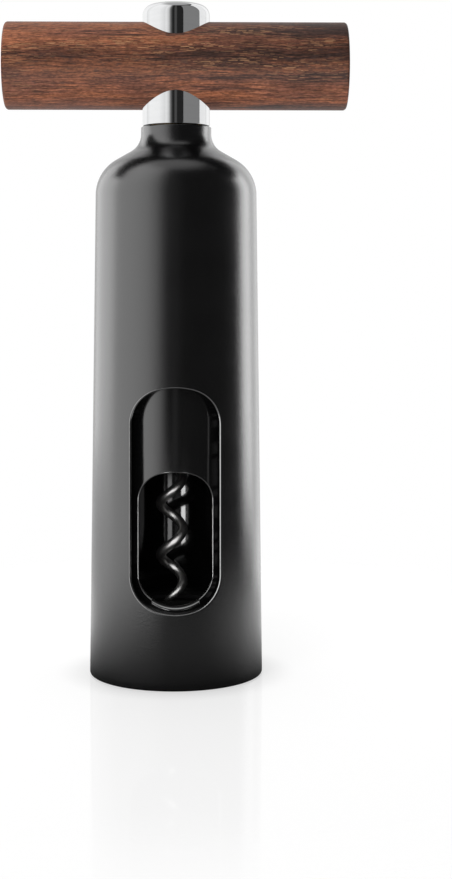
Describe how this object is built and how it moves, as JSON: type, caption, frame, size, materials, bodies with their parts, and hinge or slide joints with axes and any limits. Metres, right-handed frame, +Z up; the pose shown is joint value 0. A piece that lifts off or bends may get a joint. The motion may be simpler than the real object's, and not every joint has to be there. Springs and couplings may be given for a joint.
{
  "type": "self-pulling corkscrew",
  "caption": "Bell-shaped corkscrew with a windowed casing, a sliding inner sleeve, an open worm and a round wooden cross handle on a chromed post.",
  "frame": {"origin": "centre of the casing's foot, on the surface that it stands on", "axes": "+Z up along the worm's axis, -Y towards the side with the window, X along the handle at rest"},
  "size_m": [0.0996, 0.0502, 0.195],
  "materials": {
    "casing_black": "satin black moulding with a very fine texture",
    "sleeve_black": "smooth black moulding",
    "inner_black": "plain black moulding",
    "bush_brass": "turned",
    "plain_steel": "turned",
    "gasket_rubber": "matt",
    "worm_coating": "dark low-friction coating, semi-gloss",
    "polished_chrome": "mirror polished",
    "rosewood": "oiled, dark red-brown with darker streaks along the bar"
  },
  "bodies": {
    "casing_body": {"casing": "casing_black", "base_ring": "inner_black", "upper_bush": "bush_brass", "lower_bush": "bush_brass", "thrust_washer": "bush_brass", "retaining_washer": "plain_steel"},
    "sleeve_body": {"guide_sleeve": "sleeve_black", "neck_guide": "inner_black", "seat_gasket": "gasket_rubber"},
    "handle_body": {"spindle": "plain_steel", "circlip": "plain_steel", "worm": "worm_coating", "worm_screws": "plain_steel", "handle_post": "polished_chrome", "post_pin": "plain_steel", "drive_pins": "plain_steel", "post_cap": "polished_chrome", "wooden_handle": "rosewood"}
  },
  "joints": [
    {"name": "handle_spin", "type": "hinge", "parent": "casing_body", "child": "handle_body", "pos_m": [0, 0, 0.15], "axis": [0, 0, 1], "continuous": true},
    {"name": "sleeve_slide", "type": "slide", "parent": "casing_body", "child": "sleeve_body", "axis": [0, 0, 1], "range_m": [0, 0.0224]}
  ]
}
